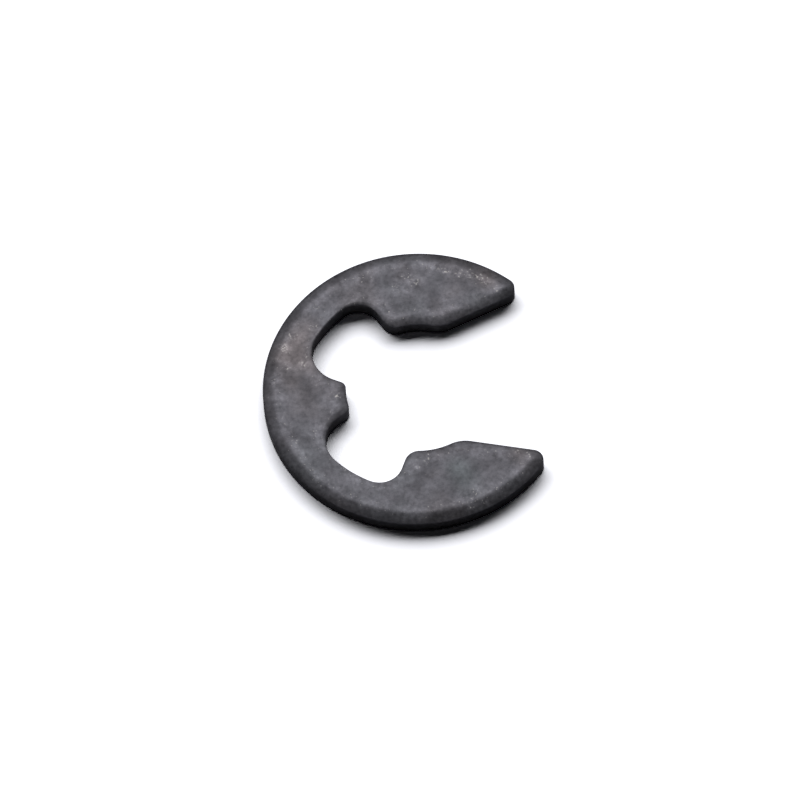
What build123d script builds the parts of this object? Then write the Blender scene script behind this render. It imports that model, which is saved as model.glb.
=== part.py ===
from build123d import *
from math import cos, radians, sin, sqrt
import os

# E-clip: a retaining ring that is pushed sideways into the groove of a 6 mm shaft.
# It is stamped from spring-steel strip in one piece and tumbled, so every edge is rounded.
#
# Frame: millimetres. The shaft's axis is Z, the ring lies flat on Z = 0 with its rolled
# (punch-side) edge up, and its mouth opens towards +X. It is symmetric about the XZ plane.

# ---- Driving dimensions ----------------------------------------------------------------

# Strip and rim
outer_diameter = 12.0        # the ring's free diameter
thickness = 0.8              # the strip's thickness
rim_setback = 0.08           # from the shaft's axis back to the rim's centre

# The three seats that grip the bottom of the groove
seat_diameter = 5.66         # circle through the seats, before the ring is sprung open
prong_start = 64.1           # the front seats begin here, as an angle from the mouth
prong_end = 105.4            # and end here
mouth_flare = 18.0           # each side of the mouth opens outwards by this angle
prong_flank = 27.0           # the flank behind each front seat leans back by this angle
tooth_width = 1.17           # the back seat, across its tip
tooth_flank = 28.0           # each side of the tooth spreads by this angle

# The two relief lobes that let the ring spring open
relief_diameter = 9.15

# Corners of the outline, seen from above
tip_radius = 0.43            # where the mouth meets the rim
mouth_radius = 1.28          # where the mouth meets a front seat
prong_radius = 0.60          # where a front seat meets its flank
lobe_front_radius = 0.92     # inside a lobe, next to the prong
lobe_back_radius = 1.30      # inside a lobe, next to the tooth
tooth_radius = 0.28          # the corners of the tooth

# Edges of the strip
roll_radius = 0.36           # upper edges, drawn down by the punch and then tumbled
tumble_radius = 0.10         # lower edges, deburred by the tumbling


def heading(angle):
    """A unit step at an angle from the mouth's direction."""
    return Vector(cos(radians(angle)), sin(radians(angle)))


def both_sides(points):
    """A closed face from one side's points, from front to back, and their mirror image."""
    mirror_points = [Vector(point.X, -point.Y) for point in reversed(points)]
    return make_face(Polyline(*points, *mirror_points, close=True))


def seat_corners():
    """The seats' corners on the +Y side: at the mouth, at the prong's back and on the tooth."""
    radius = seat_diameter / 2
    mouth = heading(prong_start) * radius
    prong = heading(prong_end) * radius
    tooth = Vector(-sqrt(radius**2 - (tooth_width / 2) ** 2), tooth_width / 2)
    return mouth, prong, tooth


def lobe(prong, tooth):
    """A relief lobe: part of the relief circle, between a prong's flank and the tooth's."""
    beyond = relief_diameter
    front = prong + heading(90 + prong_flank) * beyond
    back = tooth + heading(180 - tooth_flank) * beyond
    wedge = make_face(Polyline(prong, front, back, tooth, close=True))
    return wedge & Circle(relief_diameter / 2)


def fitted(*radii):
    """The radii of the corners at a flank's two ends, which together take a lobe's depth at most."""
    depth = (relief_diameter - seat_diameter) / 2
    fit = min(1, depth / sum(radii))
    return [radius * fit for radius in radii]


def outline():
    """The stamped outline, with its corners rounded in order from the tips to the tooth."""
    mouth, prong, tooth = seat_corners()
    flared = mouth + heading(mouth_flare) * outer_diameter
    opening = Circle(seat_diameter / 2) + both_sides([flared, mouth])
    pocket = lobe(prong, tooth)
    opening += pocket + mirror(pocket, about=Plane.XZ)
    profile = Pos(-rim_setback, 0) * Circle(outer_diameter / 2) - opening

    corners = [vertex.center() for vertex in profile.vertices() if vertex.Y > 0]
    corners.sort(key=lambda point: -point.X / point.length)
    radii = [tip_radius, mouth_radius]
    radii += fitted(prong_radius, lobe_front_radius)
    radii += fitted(lobe_back_radius, tooth_radius)
    for corner, radius in zip(corners, radii):
        opposite = Vector(corner.X, -corner.Y)
        pair = [profile.vertices().sort_by_distance(point)[0] for point in (corner, opposite)]
        profile = fillet(pair, radius)
    return profile


def e_clip():
    """The ring, with its rolled upper edges and tumbled lower ones."""
    ring = extrude(outline(), thickness)
    ring = fillet(ring.edges().group_by(Axis.Z)[-1], roll_radius)
    return fillet(ring.edges().group_by(Axis.Z)[0], tumble_radius)


os.makedirs("parts", exist_ok=True)
export_step(e_clip(), "parts/e_clip.step")
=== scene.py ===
"""An e-clip in dark phosphated spring steel, lying on a pale floor under a soft studio light."""

import math

import bpy
import numpy as np
from mathutils import Matrix, Vector
from mathutils.geometry import delaunay_2d_cdt
from mathutils.kdtree import KDTree


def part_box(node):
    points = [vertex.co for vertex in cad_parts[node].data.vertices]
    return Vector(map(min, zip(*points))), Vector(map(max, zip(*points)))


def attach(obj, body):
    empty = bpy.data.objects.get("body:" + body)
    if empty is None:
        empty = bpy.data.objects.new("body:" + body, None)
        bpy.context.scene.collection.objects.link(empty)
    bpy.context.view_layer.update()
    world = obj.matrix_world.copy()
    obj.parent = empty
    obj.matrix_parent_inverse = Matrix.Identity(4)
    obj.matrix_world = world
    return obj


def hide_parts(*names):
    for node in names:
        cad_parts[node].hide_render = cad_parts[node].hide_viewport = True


MM = 0.001

# ---- Camera and light ------------------------------------------------------------------

# Angles are in degrees. An azimuth of 0 is in front, on the -Y side.

camera_aim_x = -0.7562       # mm, on the floor
camera_aim_y = -0.0865
camera_azimuth = -4.853
camera_elevation = 61.318
camera_roll = -3.679
camera_distance = 0.4        # m
camera_sensor = 36.0         # mm
camera_lens = 460.98         # mm
camera_near = 0.01           # m, and nothing nearer or farther than these is drawn
camera_far = 10.0

key_azimuth = 182.5          # the softbox stands behind the ring
key_elevation = 49.5
key_distance = 0.5           # m, like its width and height
key_width = 0.8
key_height = 0.36
key_level = 1.97             # its brightness, where white is 1
ambient = 0.0003             # the dark studio's brightness, as it lights the floor
sky_level = 0.5              # and as the steel mirrors it
floor_half = 1.0             # m, from the origin to a side of the floor
floor_colour = (3.27, 3.29, 3.45)   # as the camera and the steel see it: past white, a little blue
paper_colour = (0.8, 0.8, 0.8)      # and in the light that it passes on into the shadows

# ---- The steel's coat ------------------------------------------------------------------

coat_level = 0.12
plain_tint = (1.01, 0.99, 1.11)
warm_tint = (1.07, 0.965, 1.01)
cool_tint = (0.95, 1.02, 1.10)
bare_colour = (0.45, 0.43, 0.42)
edge_tint = 0.5              # of the glancing shine that bare steel would have
roughness = 0.5923
roll_roughness = 0.5
roughness_spread = 0.05      # either way, with the grain

# Shade is painted into the coat over the edge rolls, most along the rim, and on the upright walls.
roll_onset = 0.3             # how far round a roll the painted shade, and the rolls' roughness, come in full
rim_shade_level = 0.45            # share of the coat's level left under the painted shade there, along the rim
inner_shade_share = 0.55           # how far the painted shade darkens the mouth, seats and lobes, for the rim's 1
rim_reach = 1.2              # mm from the rim to where the painted shade is as inside
wall_shade_level = 0.3             # share left again on the upright walls, as painted shade
slope_top = 0.85             # the slope, as the normal's height, from which shade is painted on the walls

# Scales are in features per millimetre. Spreads are where most of a noise's values lie.
cloud_scale = 1.5
cloud_depth = 0.28
tint_scale = 0.6
tint_drift = 0.3             # how far the tint wanders between warm (1) and cool (-1)
tint_detail = 2
grain_scale = 7.0
grain_depth = 0.36
noise_detail = 4
noise_spread = (0.3, 0.7)
grain_spread = (0.25, 0.75)
bump_height = 0.003          # mm

haze_scale = 4.5             # the pale patches of the rubbed places
haze_start = 0.35
haze_end = 0.65
haze_depth = 1.35
speck_scale = 10.0           # bare specks, mostly in the rubbed places
speck_detail = 3
speck_pull = 0.34
speck_start = 0.72
speck_end = 0.92
edge_rub = 0.3               # how far the coat is rubbed all along the upper edge
edge_rub_inset = 0.1         # mm in from the roll
edge_rub_reach = 0.25        # mm

# Places with a tinge of their own: x, y and reach in mm, and how far to warm (1) or cool (-1)
tinged = [
    (-4.60, 2.10, 0.80, 1.0),
    (-4.00, 3.20, 0.60, 0.6),
    (-5.00, 0.90, 0.60, 0.5),
    (-3.90, 1.60, 0.60, 0.4),
    (3.30, 4.30, 0.50, 0.8),
    (0.10, 4.90, 0.50, 0.3),
    (3.40, -3.50, 0.40, 0.6),
    (1.20, -4.40, 0.70, -1.0),
    (1.00, -3.70, 0.45, -0.6),
]

# Places where it is rubbed further: x, y and reach in mm, and how far
rubbed = [
    (1.80, 4.90, 0.16, 1.0),
    (1.50, 5.08, 0.22, 0.7),
    (1.22, 5.20, 0.20, 0.5),
    (2.30, 4.72, 0.25, 0.6),
    (2.70, 4.55, 0.25, 0.7),
    (3.05, 4.38, 0.22, 0.8),
    (3.30, 4.15, 0.20, 0.7),
    (3.65, 3.78, 0.22, 0.7),
    (0.28, 4.88, 0.20, 0.7),
    (0.55, 4.62, 0.22, 0.8),
    (-0.10, 4.85, 0.15, 0.5),
    (-0.25, 4.45, 0.25, 0.6),
    (0.15, 4.25, 0.22, 0.4),
    (-0.70, 3.70, 0.20, 0.4),
    (-1.60, 5.10, 0.25, 0.5),
    (-1.15, 4.95, 0.25, 0.4),
    (-1.70, 4.30, 0.40, 0.3),
    (1.50, 3.60, 0.18, 0.5),
    (1.85, 3.88, 0.20, 0.3),
    (1.00, 3.20, 0.15, 0.4),
    (-3.45, 4.12, 0.16, 0.7),
    (-3.72, 3.22, 0.25, 0.6),
    (-3.40, 3.60, 0.20, 0.4),
    (-4.62, 2.92, 0.20, 0.8),
    (-4.90, 2.48, 0.22, 1.0),
    (-4.25, 2.80, 0.22, 0.5),
    (-5.25, 2.05, 0.18, 0.6),
    (-4.95, 1.60, 0.28, 0.5),
    (-4.30, 1.65, 0.20, 0.8),
    (-4.12, 1.92, 0.16, 0.6),
    (-3.82, 1.02, 0.10, 0.9),
    (-5.55, 1.05, 0.22, 0.6),
    (-5.60, 0.35, 0.25, 0.4),
    (-3.75, 0.65, 0.25, 0.4),
    (-3.20, 0.05, 0.16, 0.8),
    (-4.30, -1.40, 0.28, 0.5),
    (-5.10, -1.70, 0.14, 0.6),
    (-5.20, -0.85, 0.14, 0.5),
    (-4.52, -3.45, 0.22, 0.6),
    (-4.25, -3.85, 0.20, 0.4),
    (-2.90, -4.68, 0.25, 0.4),
    (-0.15, -3.32, 0.15, 0.9),
    (-0.58, -3.56, 0.14, 0.7),
    (0.60, -3.20, 0.20, 0.3),
    (1.10, -3.12, 0.14, 0.4),
    (3.35, -3.48, 0.16, 0.6),
    (3.78, -3.75, 0.25, 0.6),
    (1.50, -5.15, 0.35, 0.5),
    (2.40, -4.95, 0.25, 0.4),
    (1.30, -5.55, 0.22, 0.5),
    (1.80, -5.42, 0.20, 0.5),
    (-0.40, -5.50, 0.20, 0.3),
]

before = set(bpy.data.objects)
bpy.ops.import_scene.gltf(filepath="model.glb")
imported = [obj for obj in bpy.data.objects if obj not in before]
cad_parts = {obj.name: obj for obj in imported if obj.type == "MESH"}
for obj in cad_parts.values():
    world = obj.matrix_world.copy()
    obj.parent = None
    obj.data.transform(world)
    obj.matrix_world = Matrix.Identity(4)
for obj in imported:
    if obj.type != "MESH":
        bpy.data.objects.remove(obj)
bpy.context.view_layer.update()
low, high = [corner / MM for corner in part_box("e_clip")]

# ---- The ring's outline, in millimetres about the shaft's axis -------------------------

# These three come from the solid's box. It is measured on facets, which sets the rim's centre
# 0.005 mm from the solid's.

rim_radius = (high.y - low.y) / 2
rim_centre = low.x + rim_radius
thickness = high.z - low.z

# These, and the corners' radii, are the solid's own. Angles start at the mouth.

seat_radius = 2.83
relief_radius = 4.575        # the lobes' floor
prong_start = 64.1           # the front seats run from this angle
prong_end = 105.4            # to this one
mouth_flare = 18.0
prong_flank = 27.0           # the flank behind a front seat leans this far
tooth_width = 1.17
tooth_flank = 28.0           # each side of the tooth leans this far

tip_radius = 0.43            # where the mouth meets the rim
mouth_radius = 1.28          # where the mouth meets a front seat
prong_radius = 0.60          # where a front seat meets its flank
lobe_front_radius = 0.92     # inside a lobe, next to the prong
lobe_back_radius = 1.30      # inside a lobe, next to the tooth
tooth_radius = 0.28          # the corners of the tooth

# ---- The edges of the strip ------------------------------------------------------------

rim_roll = 0.49              # how far the punch and the tumbling drew each upper edge in
seat_roll = 0.38
lobe_roll = 0.04
tooth_roll = 0.42
lower_roll = 0.12
roll_power = 1.6             # 2 is round, 1 a flat bevel
roll_drop = 0.3              # a roll's depth for its width
roll_blend = 0.5             # along the outline, from one roll to the next
roll_room = 0.97             # share of the free room that a roll may take

outline_step = 0.05          # between points along the outline
least_line_steps = 2
least_arc_steps = 8
face_step = 0.16             # between points inside the flat faces
roll_rows = 10
wall_rows = 4
tolerance = 1e-9


def heading(angle):
    """A unit step at an angle from the mouth's direction."""
    return np.array([math.cos(math.radians(angle)), math.sin(math.radians(angle))])


class Line:
    """A straight run of the outline from a point in a direction."""

    def __init__(self, point, direction):
        self.point = point
        self.direction = direction

    def along(self, point):
        """The way the run goes at a point."""
        return self.direction

    def moved(self, left):
        """The same run a distance to its left."""
        aside = np.array([-self.direction[1], self.direction[0]])
        return Line(self.point + left * aside, self.direction)

    def nearest(self, point):
        """The place on the run that is nearest to a point."""
        return self.point + self.direction * np.dot(point - self.point, self.direction)

    def points(self, start, end):
        """Even steps from a start towards an end, which is left to the next run."""
        count = max(least_line_steps, round(np.linalg.norm(end - start) / outline_step))
        return start + (np.arange(count) / count)[:, None] * (end - start)


class Arc:
    """A round run of the outline, turning left (1) or right (-1) about its centre.

    Its functions do what those of a line do.
    """

    def __init__(self, centre, radius, turn):
        self.centre = np.array(centre, float)
        self.radius = radius
        self.turn = turn

    def along(self, point):
        x, y = (point - self.centre) * self.turn
        return np.array([-y, x]) / math.hypot(x, y)

    def moved(self, left):
        return Arc(self.centre, self.radius - self.turn * left, self.turn)

    def nearest(self, point):
        away = point - self.centre
        return self.centre + away / np.linalg.norm(away) * self.radius

    def points(self, start, end):
        first, last = [math.atan2(*(point - self.centre)[::-1]) for point in (start, end)]
        sweep = (last - first) * self.turn % math.tau
        count = max(least_arc_steps, round(sweep * self.radius / outline_step))
        angles = first + self.turn * sweep * np.arange(count) / count
        return self.centre + self.radius * np.stack([np.cos(angles), np.sin(angles)], 1)


def crossing(one, other, near):
    """Where a line and an arc meet, nearest to a point."""
    line, arc = (one, other) if isinstance(one, Line) else (other, one)
    foot = line.nearest(arc.centre)
    half = math.sqrt(arc.radius**2 - np.sum((foot - arc.centre) ** 2))
    ends = [foot + line.direction * half, foot - line.direction * half]
    return min(ends, key=lambda end: np.linalg.norm(end - near))


def half_outline():
    """The +Y half: from the rim's back over the top to the tip, and in to the tooth.

    Gives its points and the roll of the upper edge at each of them.
    """
    mouth = heading(prong_start) * seat_radius
    prong = heading(prong_end) * seat_radius
    tooth = np.array([-math.sqrt(seat_radius**2 - (tooth_width / 2) ** 2), tooth_width / 2])
    rim = Arc((rim_centre, 0), rim_radius, -1)
    flare = Line(mouth, -heading(mouth_flare))
    seat = Arc((0, 0), seat_radius, 1)
    flank = Line(prong, heading(90 + prong_flank))
    relief = Arc((0, 0), relief_radius, 1)
    side = Line(tooth, heading(-tooth_flank))

    runs = [rim, flare, seat, flank, relief, side, seat]
    flank_roll, side_roll = (seat_roll + lobe_roll) / 2, (lobe_roll + tooth_roll) / 2
    rolls = [rim_roll, seat_roll, seat_roll, flank_roll, lobe_roll, side_roll, tooth_roll]
    corners = [mouth + heading(mouth_flare) * rim_radius, mouth, prong, prong, tooth, tooth]
    radii = [tip_radius, mouth_radius, prong_radius]
    radii += [lobe_front_radius, lobe_back_radius, tooth_radius]

    start = np.array([rim_centre - rim_radius, 0.0])
    points, edge_rolls = [], []
    for index, radius in enumerate(radii):
        run, after = runs[index : index + 2]
        corner = crossing(run, after, corners[index])
        (x, y), (next_x, next_y) = run.along(corner), after.along(corner)
        turn = 1 if x * next_y > y * next_x else -1
        centre = crossing(run.moved(turn * radius), after.moved(turn * radius), corner)
        end, next_start = run.nearest(centre), after.nearest(centre)
        run_points = run.points(start, end)
        bend_points = Arc(centre, radius, turn).points(end, next_start)
        points += [run_points, bend_points]
        edge_rolls += [rolls[index]] * len(run_points)
        edge_rolls += list(np.linspace(rolls[index], rolls[index + 1], len(bend_points)))
        start = next_start
    back = np.array([-seat_radius, 0.0])
    last_points = runs[-1].points(start, back)
    points += [last_points, back[None]]
    edge_rolls += [rolls[-1]] * (len(last_points) + 1)
    return np.concatenate(points), np.array(edge_rolls)


def outline():
    """The whole outline, clockwise: points, outward normals and upper edge rolls."""
    half, half_rolls = half_outline()
    points = np.concatenate([half, half[-2:0:-1] * [1, -1]])
    rolls = np.concatenate([half_rolls, half_rolls[-2:0:-1]])
    step = np.roll(points, -1, 0) - np.roll(points, 1, 0)
    step /= np.linalg.norm(step, axis=1)[:, None]
    normals = np.stack([-step[:, 1], step[:, 0]], 1)

    # Each roll runs into the next one over roll_blend.
    spacing = np.linalg.norm(np.roll(points, -1, 0) - points, axis=1)
    place = np.cumsum(spacing)
    apart = np.abs(place[:, None] - place)
    apart = np.minimum(apart, place[-1] - apart)
    weight = np.exp(-((apart / roll_blend) ** 2)) * spacing
    return points, normals, weight @ rolls / weight.sum(1)


def free_room(points, normals):
    """How far each point can move straight in before another side of the outline is nearer."""
    across = points[None] - points[:, None]
    inward = -np.einsum("ijk,ik->ij", across, normals)
    distance = np.sum(across**2, axis=2)
    with np.errstate(divide="ignore", invalid="ignore"):
        radius = np.where(inward > tolerance, distance / (2 * inward), np.inf)
    return radius.min(1)


def edge_rows(points, normals, rolls, room, count):
    """Rows of points round an edge, from the wall to the flat face.

    Each row has the points' x and y and their height above the wall's end. The roll stops short
    of its full width where the room for it ends.
    """
    inset = np.minimum(rolls, roll_room * room)
    turn = np.arccos((1 - inset / rolls) ** (roll_power / 2))
    rows = []
    for part in np.linspace(0, 1, count):
        inward = rolls * (1 - np.cos(turn * part) ** (2 / roll_power))
        rise = rolls * roll_drop * (np.sin(turn * part) / np.sin(turn)) ** (2 / roll_power)
        rows.append(np.column_stack([points - normals * inward[:, None], rise]))
    return rows


def nearest_on(points):
    """A search for the outline point nearest to a place in plan: its number and distance."""
    tree = KDTree(len(points))
    for number, point in enumerate(points):
        tree.insert((*point, 0), number)
    tree.balance()

    def search(places):
        found = [tree.find((x, y, 0)) for x, y in places]
        return np.array([hit[1] for hit in found]), np.array([hit[2] for hit in found])

    return search


def cap(loop, points, normals, rolls, search):
    """A flat face inside a loop: extra points well inside it, and its triangles."""
    spread = [np.arange(start, end, face_step) for start, end in zip(points.min(0), points.max(0))]
    grid = np.stack(np.meshgrid(*spread), -1)
    grid[1::2, :, 0] += face_step / 2
    grid = grid.reshape(-1, 2)
    nearest, distance = search(grid)
    inside = np.einsum("ij,ij->i", grid - points[nearest], normals[nearest]) < 0
    extra = grid[inside & (distance > rolls[nearest] + face_step / 2)]
    every = [Vector(point) for point in np.concatenate([loop, extra])]
    edge = [list(range(len(loop)))]
    _, _, triangles, origins, _, _ = delaunay_2d_cdt(every, [], edge, 1, tolerance)
    return extra, [[origins[corner][0] for corner in triangle] for triangle in triangles]


def ring_mesh():
    """The whole ring: rows of points up the wall and round both edges, and two flat faces."""
    points, normals, rolls = outline()
    room = free_room(points, normals)
    search = nearest_on(points)
    tumbled = np.full(len(points), lower_roll)
    lower = edge_rows(points, normals, tumbled, room, roll_rows // 2)
    upper = edge_rows(points, normals, rolls, room, roll_rows)

    foot, shoulder = tumbled * roll_drop, thickness - rolls * roll_drop
    rows = [row * [1, 1, -1] + np.outer(foot, [0, 0, 1]) for row in reversed(lower)]
    for part in np.linspace(0, 1, wall_rows + 2)[1:-1]:
        rows.append(np.column_stack([points, foot + part * (shoulder - foot)]))
    rows += [row + np.outer(shoulder, [0, 0, 1]) for row in upper]

    count = len(points)
    faces = []
    for row in range(len(rows) - 1):
        below, above = row * count, (row + 1) * count
        for i in range(count):
            j = (i + 1) % count
            faces.append([below + j, below + i, above + i, above + j])

    total = count * len(rows)
    verts = list(rows)
    underside, top = (0, 0.0, tumbled, -1), (len(rows) - 1, thickness, rolls, 1)
    for row, height, edge, step in (underside, top):
        extra, triangles = cap(rows[row][:, :2], points, normals, edge, search)
        numbers = np.concatenate([row * count + np.arange(count), total + np.arange(len(extra))])
        faces += [numbers[triangle][::step].tolist() for triangle in triangles]
        verts.append(np.column_stack([extra, np.full(len(extra), height)]))
        total += len(extra)

    verts = np.concatenate(verts)
    # With the rim's centre off by that much, the tips would stand a little out of the solid's box.
    verts[:, 0] = np.minimum(verts[:, 0], high.x)
    mesh = bpy.data.meshes.new("e_clip_stamping")
    mesh.from_pydata((verts * MM).tolist(), [], faces)
    mesh.shade_smooth()
    rounding = rounding_of(rows, total)
    give(mesh, "rounding", rounding)
    # painted shade: the coat darkened over the rolls, most along the rim
    give(mesh, "painted_roll_shade", roll_shade_at(verts, rounding))
    give(mesh, "rub", rub_of(verts, rolls, search))
    give(mesh, "tinge", sum(share * nearness(verts, x, y, reach) for x, y, reach, share in tinged))
    return mesh


def give(mesh, name, values):
    """Store a number for each vertex, for the material to read."""
    mesh.attributes.new(name, "FLOAT", "POINT").data.foreach_set("value", values)


def rounding_of(rows, total):
    """How far round the upper edge each vertex lies: 0 on the flat faces, 1 on the wall."""
    count = len(rows[0])
    rounding = np.zeros(total)
    rounding[: count * len(rows)] = 1
    shares = np.cos(np.linspace(0, math.pi / 2, roll_rows)) ** (2 / roll_power)
    rounding[count * (len(rows) - roll_rows) : count * len(rows)] = np.repeat(shares, count)
    return rounding


def nearness(verts, x, y, reach):
    """How near each vertex lies to a place in plan: 1 there, and fading over the reach."""
    apart = np.hypot(verts[:, 0] - x, verts[:, 1] - y)
    return np.exp(-((apart / reach) ** 2))


def roll_shade_at(verts, rounding):
    """How far shade is painted into the coat at each vertex: over the rolls, and most along the
    rim.
    """
    inside = rim_radius - np.hypot(verts[:, 0] - rim_centre, verts[:, 1])
    rim = np.clip((rim_reach - inside) / (rim_reach - rim_roll), 0, 1)
    return np.minimum(rounding / roll_onset, 1) * (inner_shade_share + (1 - inner_shade_share) * rim)


def rub_of(verts, rolls, search):
    """How far the coat is rubbed at each vertex: a little along the edge, more in places."""
    nearest, distance = search(verts[:, :2])
    apart = distance - rolls[nearest] - edge_rub_inset
    rub = edge_rub * np.exp(-((apart / edge_rub_reach) ** 2))
    for x, y, reach, share in rubbed:
        rub = np.maximum(rub, share * nearness(verts, x, y, reach))
    return rub * (verts[:, 2] > thickness / 2)


def add(name, data):
    """Put a mesh, a light or a camera into the scene."""
    piece = bpy.data.objects.new(name, data)
    bpy.context.scene.collection.objects.link(piece)
    return piece


# ---- Materials -------------------------------------------------------------------------


def new_material(name):
    """An empty material and its node tree."""
    material = bpy.data.materials.new(name)
    material.use_nodes = True
    return material, material.node_tree


def node(tree, kind, inputs, **settings):
    """Add a shader node with its settings; an input takes a value or another node's socket."""
    made = tree.nodes.new("ShaderNode" + kind)
    for name, value in settings.items():
        setattr(made, name, value)
    for key, value in inputs.items():
        if isinstance(value, bpy.types.NodeSocket):
            tree.links.new(value, made.inputs[key])
        else:
            made.inputs[key].default_value = value
    return made


def noise(tree, place, scale, detail=noise_detail):
    """A soft random value from about 0 to 1, varying over the surface."""
    inputs = {"Vector": place, "Scale": scale, "Detail": detail}
    return node(tree, "TexNoise", inputs).outputs["Fac"]


def ramp(tree, value, start, end, low=0.0, high=1.0):
    """Carry a value from one range to another, held at its ends."""
    inputs = {"Value": value, "From Min": start, "From Max": end, "To Min": low, "To Max": high}
    return node(tree, "MapRange", inputs).outputs["Result"]


def blend(tree, share, first, second):
    """A colour between two others."""
    inputs = {"Factor": share, "A": first, "B": second}
    return node(tree, "Mix", inputs, data_type="RGBA").outputs["Result"]


def math_node(tree, operation, one, other):
    """A sum, product or the like of two values."""
    return node(tree, "Math", {0: one, 1: other}, operation=operation).outputs["Value"]


def scaled(tree, vector, factor):
    """A place or a colour times a number."""
    inputs = {0: vector, "Scale": factor}
    return node(tree, "VectorMath", inputs, operation="SCALE").outputs["Vector"]


def steel_material():
    """Dark phosphate on tumbled steel: clouded, grained, tinged, rubbed; shade painted on rolls
    and walls.
    """
    material, tree = new_material("phosphated_spring_steel")
    shader = tree.nodes["Principled BSDF"]
    place = scaled(tree, node(tree, "TexCoord", {}).outputs["Object"], 1 / MM)
    normal = node(tree, "NewGeometry", {}).outputs["Normal"]
    upright = node(tree, "SeparateXYZ", {"Vector": normal}).outputs["Z"]
    rounding, painted_roll_shade, rub, tinge = [
        node(tree, "Attribute", {}, attribute_name=name).outputs["Fac"]
        for name in ("rounding", "painted_roll_shade", "rub", "tinge")
    ]

    clouds = noise(tree, place, cloud_scale)
    grain = noise(tree, place, grain_scale)
    patches = ramp(tree, noise(tree, place, haze_scale), haze_start, haze_end)
    haze = math_node(tree, "MULTIPLY", rub, patches)
    darkest, palest = coat_level * (1 - cloud_depth), coat_level * (1 + cloud_depth)
    level = ramp(tree, clouds, *noise_spread, darkest, palest)
    for share in (
        ramp(tree, grain, *grain_spread, 1 - grain_depth, 1 + grain_depth),
        ramp(tree, haze, 0, 1, 1, 1 + haze_depth),
        # painted shade: darker over the edge rolls, most along the rim, and on the upright walls
        ramp(tree, painted_roll_shade, 0, 1, 1, rim_shade_level),
        ramp(tree, upright, 0, slope_top, wall_shade_level, 1),
    ):
        level = math_node(tree, "MULTIPLY", level, share)
    drift = noise(tree, place, tint_scale, tint_detail)
    tint = math_node(tree, "ADD", ramp(tree, drift, *noise_spread, -tint_drift, tint_drift), tinge)
    colour = blend(tree, ramp(tree, tint, 0, 1), (*plain_tint, 1), (*warm_tint, 1))
    colour = blend(tree, ramp(tree, tint, 0, -1), colour, (*cool_tint, 1))
    coat = scaled(tree, colour, level)

    bared = math_node(tree, "MULTIPLY", rub, speck_pull)
    specks = math_node(tree, "ADD", noise(tree, place, speck_scale, speck_detail), bared)
    worn = ramp(tree, specks, speck_start, speck_end)
    tree.links.new(blend(tree, worn, coat, (*bare_colour, 1)), shader.inputs["Base Color"])
    shader.inputs["Metallic"].default_value = 1.0
    shader.inputs["Specular Tint"].default_value = (edge_tint, edge_tint, edge_tint, 1)
    matt = ramp(tree, rounding, 0, roll_onset, roughness, roll_roughness)
    uneven = ramp(tree, grain, *noise_spread, -roughness_spread, roughness_spread)
    matt = math_node(tree, "ADD", matt, uneven)
    tree.links.new(matt, shader.inputs["Roughness"])
    bump = node(tree, "Bump", {"Height": grain, "Strength": 1.0, "Distance": bump_height * MM})
    tree.links.new(bump.outputs["Normal"], shader.inputs["Normal"])
    return material


def floor_material():
    """White paper: past white to the camera and the steel, plain in the light it passes on."""
    material, tree = new_material("pale_paper")
    tree.nodes.remove(tree.nodes["Principled BSDF"])
    path = node(tree, "LightPath", {}).outputs
    direct = math_node(tree, "MAXIMUM", path["Is Camera Ray"], path["Is Glossy Ray"])
    direct = math_node(tree, "MAXIMUM", direct, path["Is Transmission Ray"])
    direct = math_node(tree, "MULTIPLY", direct, ramp(tree, path["Diffuse Depth"], 0, 1, 1, 0))
    colour = blend(tree, direct, (*paper_colour, 1), (*floor_colour, 1))
    lit = node(tree, "BsdfDiffuse", {"Color": colour})
    tree.links.new(lit.outputs["BSDF"], tree.nodes["Material Output"].inputs["Surface"])
    return material


# ---- Stage, lights and camera ----------------------------------------------------------


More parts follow.
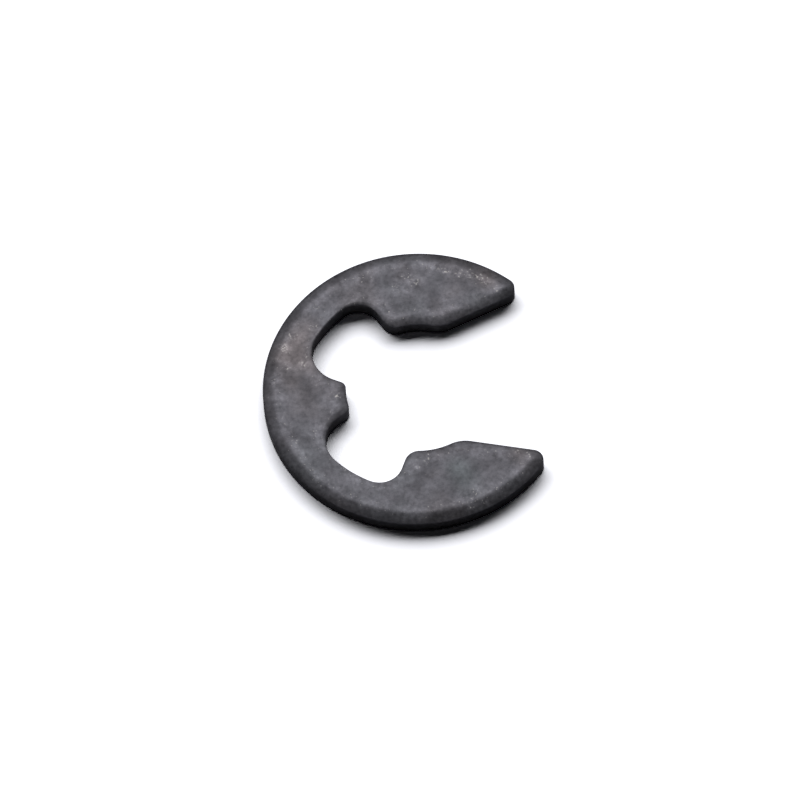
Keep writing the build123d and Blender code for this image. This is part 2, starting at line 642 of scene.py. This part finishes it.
def build_floor():
    """A flat floor for the ring to lie on."""
    mesh = bpy.data.meshes.new("floor")
    half = floor_half
    corners = [(-half, -half, 0), (half, -half, 0), (half, half, 0), (-half, half, 0)]
    mesh.from_pydata(corners, [], [(0, 1, 2, 3)])
    mesh.materials.append(floor_material())
    add("floor", mesh)


def pointed_at(place, target, roll=0.0):
    """A pose at a place, looking at a target, turned about its line of sight."""
    look = (target - place).to_track_quat("-Z", "Y").to_matrix().to_4x4()
    return Matrix.Translation(place) @ look @ Matrix.Rotation(math.radians(roll), 4, "Z")


def around(distance, azimuth, elevation):
    """A place seen from the origin, at a distance and two angles."""
    a, e = math.radians(azimuth), math.radians(elevation)
    way = Vector((math.sin(a) * math.cos(e), -math.cos(a) * math.cos(e), math.sin(e)))
    return way * distance


def build_camera():
    """A long lens, looking down on the ring from in front."""
    aim = Vector((camera_aim_x, camera_aim_y, 0)) * MM
    data = bpy.data.cameras.new("camera")
    data.sensor_width = camera_sensor
    data.lens = camera_lens
    data.clip_start = camera_near
    data.clip_end = camera_far
    camera = add("camera", data)
    place = aim + around(camera_distance, camera_azimuth, camera_elevation)
    camera.matrix_world = pointed_at(place, aim, camera_roll)
    bpy.context.scene.camera = camera


def build_lights():
    """A wide softbox behind the ring, and a faint studio that the steel mirrors more brightly.

    Beyond the floor the camera sees white.
    """
    world = bpy.data.worlds.new("studio")
    world.use_nodes = True
    bpy.context.scene.world = world
    tree = world.node_tree
    path = node(tree, "LightPath", {}).outputs
    level = ramp(tree, path["Is Glossy Ray"], 0, 1, ambient, sky_level)
    level = math_node(tree, "MAXIMUM", level, path["Is Camera Ray"])
    studio = tree.nodes["Background"]
    studio.inputs["Color"].default_value = (1, 1, 1, 1)
    tree.links.new(level, studio.inputs["Strength"])

    data = bpy.data.lights.new("key", "AREA")
    data.shape = "RECTANGLE"
    data.size, data.size_y = key_width, key_height
    data.energy = key_level * math.pi * key_width * key_height
    place = around(key_distance, key_azimuth, key_elevation)
    add("key", data).matrix_world = pointed_at(place, Vector((0, 0, 0)))


ring = add("ring", ring_mesh())
ring.data.materials.append(steel_material())
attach(ring, "root")
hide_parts("e_clip")

build_floor()
build_lights()
build_camera()
bpy.context.scene.view_settings.view_transform = "Standard"
